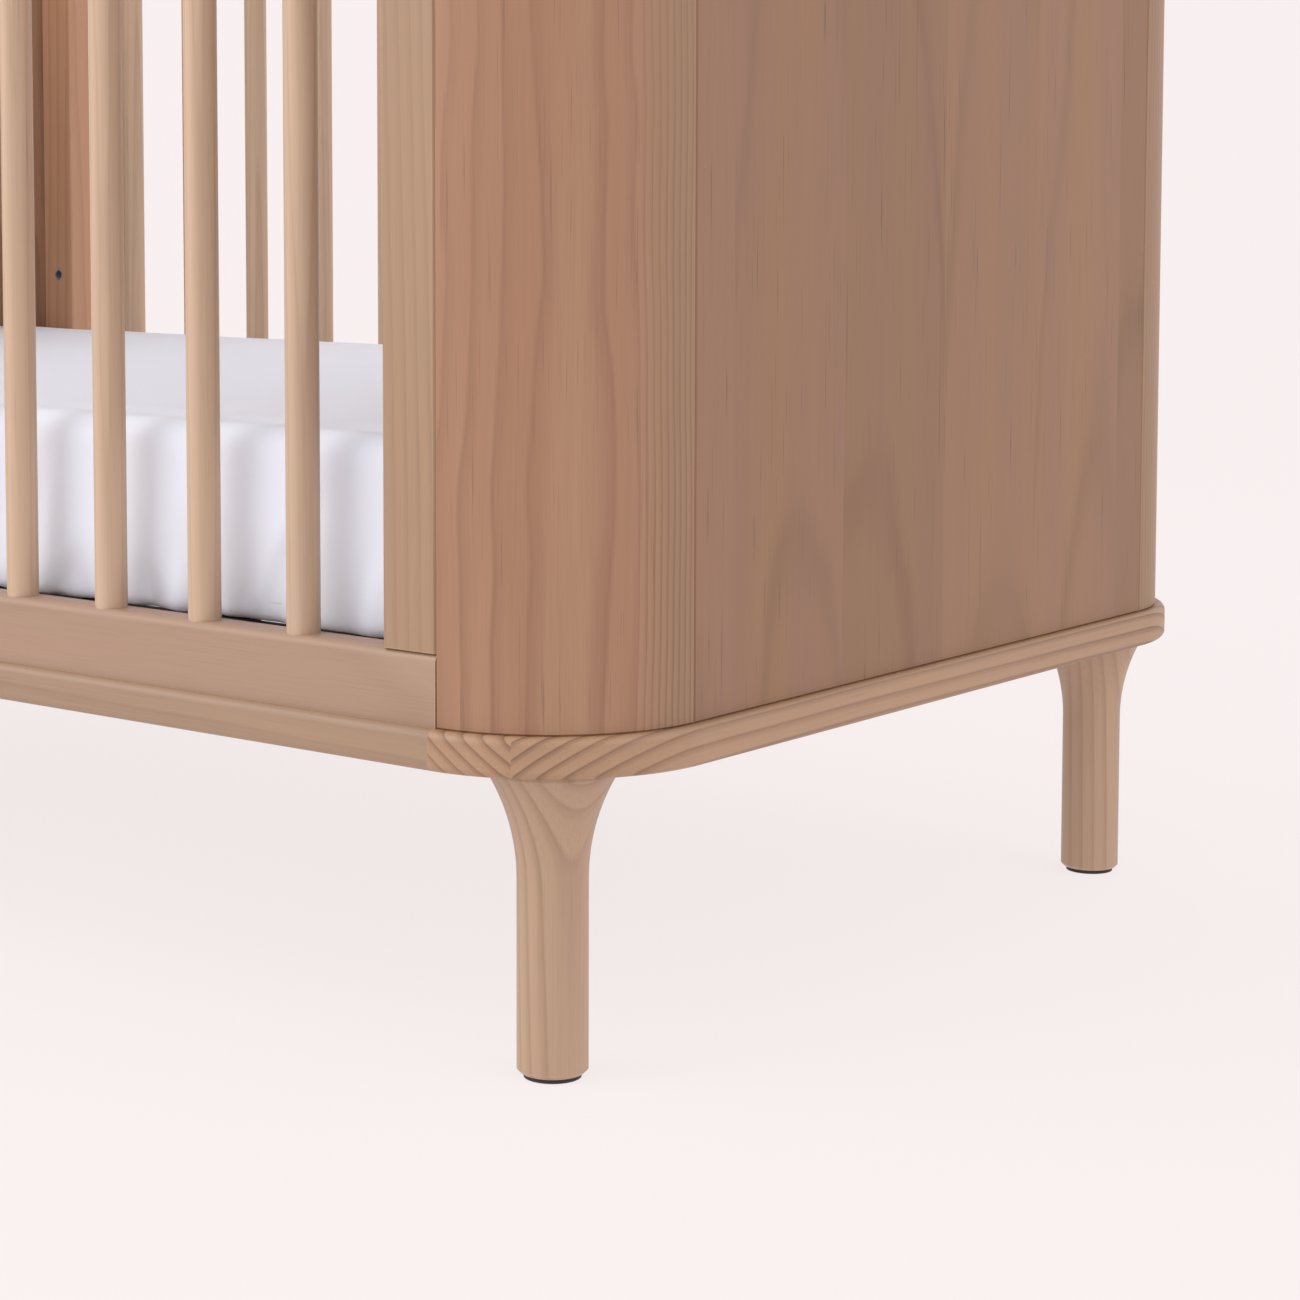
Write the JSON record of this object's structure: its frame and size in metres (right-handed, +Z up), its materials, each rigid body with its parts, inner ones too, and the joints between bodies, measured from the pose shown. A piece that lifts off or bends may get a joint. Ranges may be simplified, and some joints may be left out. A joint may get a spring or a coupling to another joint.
{
  "type": "baby crib",
  "caption": "Full-size wooden baby crib with solid end panels, quarter-round corners, round-spindle sides, turned legs, a height-adjustable mattress support and a sheeted mattress.",
  "frame": {"origin": "on the floor, under the middle of the crib", "axes": "+X along the length, -Y out of the front spindle side, +Z up"},
  "size_m": [1.368, 0.774, 0.915],
  "materials": {
    "corner_panel_wood": "clear satin lacquer over pine",
    "end_panel_wood": "clear satin lacquer over pine",
    "rim_wood": "clear satin lacquer over pine",
    "rail_wood": "clear satin lacquer over pine",
    "stile_wood": "clear satin lacquer over pine",
    "spindle_wood": "clear satin lacquer over pine",
    "leg_wood": "clear satin lacquer over pine",
    "dowel_wood": "clear satin lacquer over pine",
    "glide_plastic": "matt",
    "zinc_steel": "zinc plated",
    "support_steel": "black powder coat",
    "mattress_foam": "white ticking over foam",
    "sheet_cotton": "matt woven cotton"
  },
  "bodies": {
    "crib_frame": {"base_corner_front_left_end": "rim_wood", "base_corner_front_left_side": "rim_wood", "base_corner_front_right_end": "rim_wood", "base_corner_front_right_side": "rim_wood", "base_corner_rear_left_end": "rim_wood", "base_corner_rear_left_side": "rim_wood", "base_corner_rear_right_end": "rim_wood", "base_corner_rear_right_side": "rim_wood", "base_rim_screws": "zinc_steel", "corner_panel_front_left": "corner_panel_wood", "corner_panel_front_right": "corner_panel_wood", "corner_panel_rear_left": "corner_panel_wood", "corner_panel_rear_right": "corner_panel_wood", "front_base_rim": "rim_wood", "front_bottom_rail": "rail_wood", "front_left_stile": "stile_wood", "front_right_stile": "stile_wood", "front_spindles": "spindle_wood", "front_top_rail": "rail_wood", "front_top_rim": "rim_wood", "left_end_base_rim": "rim_wood", "left_end_panel": "end_panel_wood", "left_end_top_rim": "rim_wood", "leg_front_left": "leg_wood", "leg_front_right": "leg_wood", "leg_glides": "glide_plastic", "leg_hanger_bolts": "zinc_steel", "leg_rear_left": "leg_wood", "leg_rear_right": "leg_wood", "leg_tee_nuts": "zinc_steel", "rear_base_rim": "rim_wood", "rear_bottom_rail": "rail_wood", "rear_left_stile": "stile_wood", "rear_right_stile": "stile_wood", "rear_spindles": "spindle_wood", "rear_top_rail": "rail_wood", "rear_top_rim": "rim_wood", "right_end_base_rim": "rim_wood", "right_end_panel": "end_panel_wood", "right_end_top_rim": "rim_wood", "side_dowels": "dowel_wood", "support_pegs": "support_steel", "threaded_inserts": "zinc_steel", "top_corner_front_left": "rim_wood", "top_corner_front_right": "rim_wood", "top_corner_rear_left": "rim_wood", "top_corner_rear_right": "rim_wood", "top_rim_dowels": "dowel_wood"},
    "mattress_support": {"support_centre_bar": "support_steel", "support_front_rail": "support_steel", "support_hooks": "support_steel", "support_left_end": "support_steel", "support_rear_rail": "support_steel", "support_right_end": "support_steel", "support_rivets": "support_steel", "support_straps": "support_steel"},
    "mattress": {"mattress": "mattress_foam", "fitted_sheet": "sheet_cotton"}
  },
  "joints": [
    {"name": "support_height", "type": "slide", "parent": "crib_frame", "child": "mattress_support", "axis": [0, 0, 1], "range_m": [0, 0.2]},
    {"name": "mattress_lift", "type": "slide", "parent": "mattress_support", "child": "mattress", "axis": [0, 0, 1], "range_m": [0, 0.72]}
  ]
}
